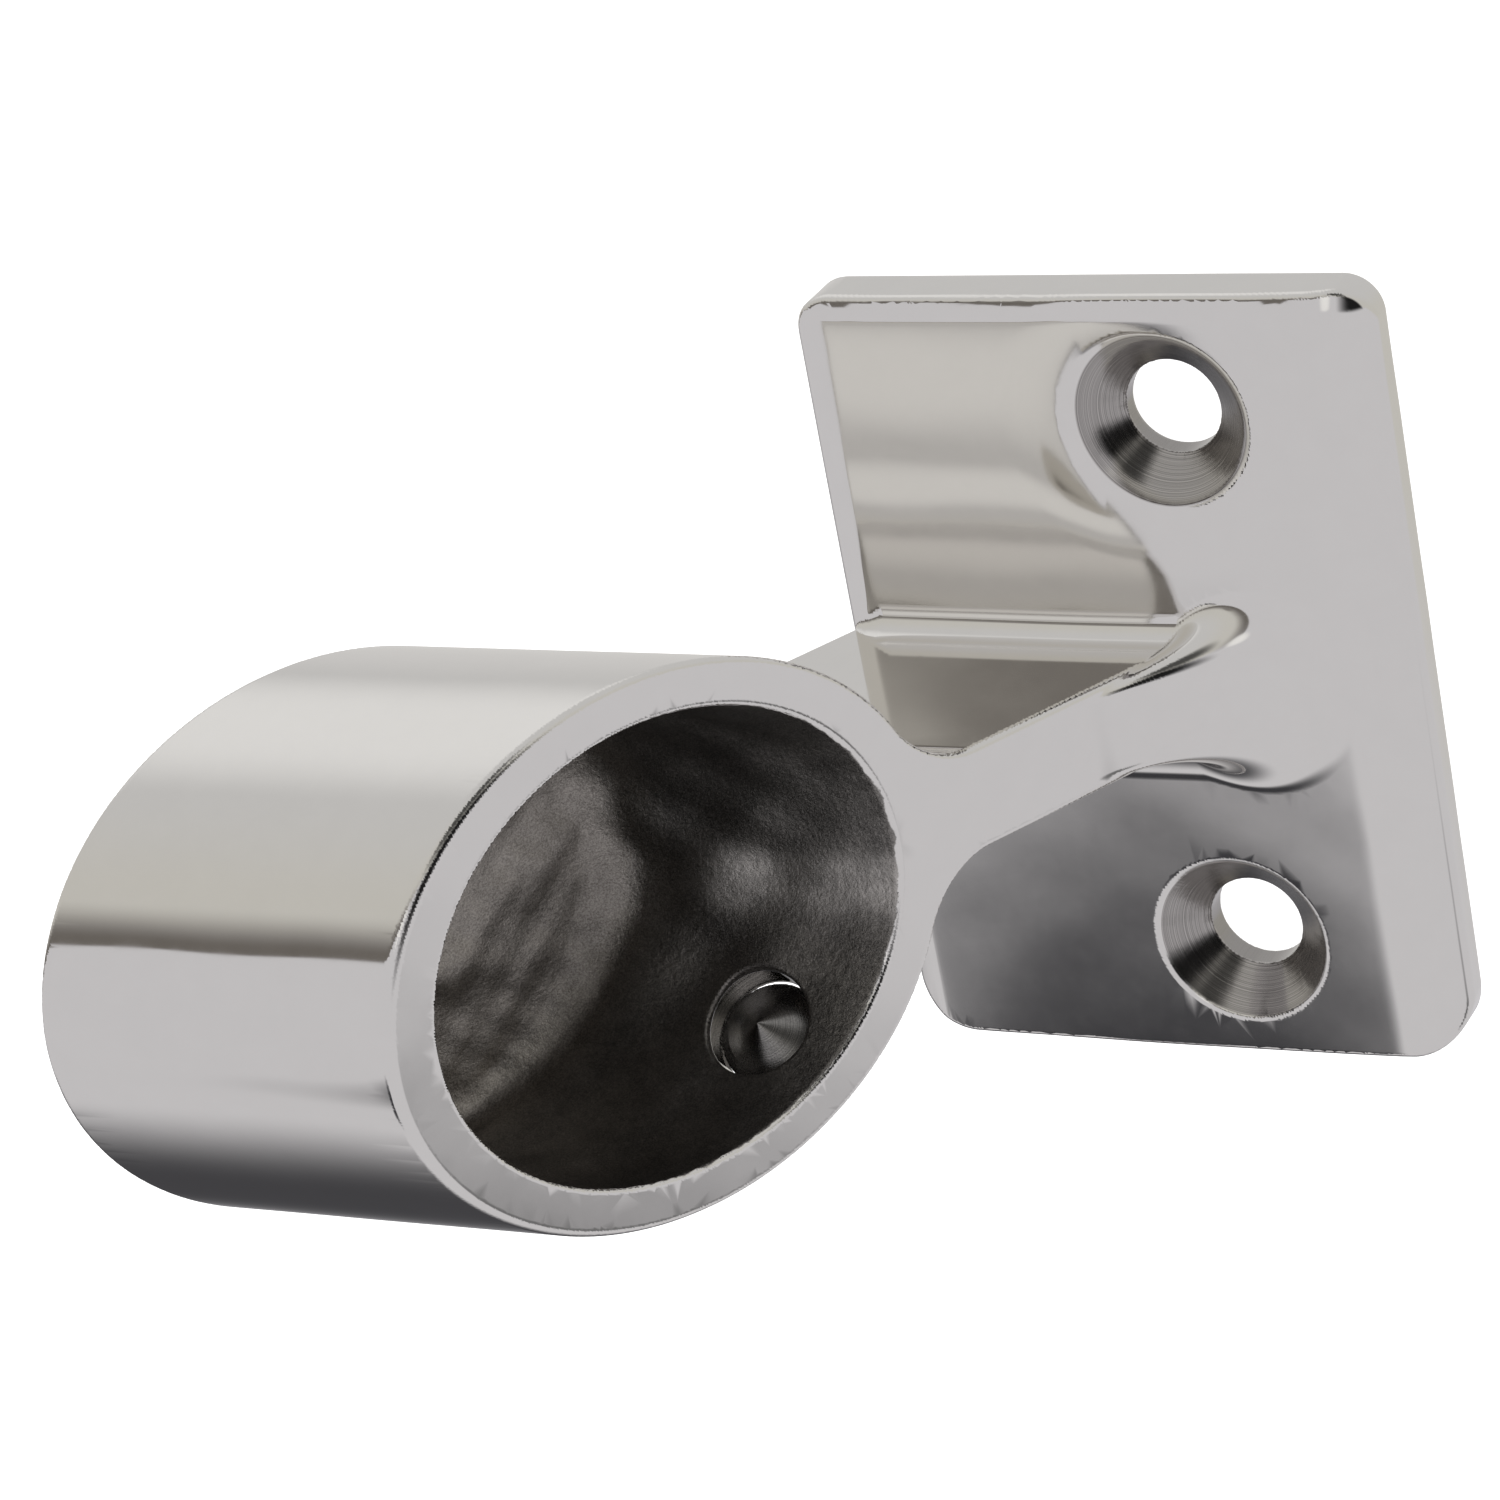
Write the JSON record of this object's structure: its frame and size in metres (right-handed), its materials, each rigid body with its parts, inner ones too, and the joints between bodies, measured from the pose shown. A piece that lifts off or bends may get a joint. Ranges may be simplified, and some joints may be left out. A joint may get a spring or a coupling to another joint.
{
  "type": "stanchion base",
  "caption": "Polished one-piece rail and stanchion socket with a raked blind mouth, a web, a rectangular countersunk base plate and a locking set screw.",
  "frame": {"origin": "centre of the base plate's mounting face", "axes": "+Z outward from the mounting face, +X along the tube axis towards the socket's mouth, +Y along the line of the two screw holes"},
  "size_m": [0.0596, 0.0466, 0.0511],
  "materials": {
    "polished_stainless": "mirror polished stainless casting, bore left as cast",
    "screw_steel": "turned stainless set screw"
  },
  "bodies": {
    "body": {"cast_body": "polished_stainless"},
    "screw": {"set_screw": "screw_steel"}
  },
  "joints": [
    {"name": "set_screw_travel", "type": "slide", "parent": "body", "child": "screw", "axis": [0, -0.7373, -0.6756], "range_m": [-0.003, 0.0005]}
  ]
}
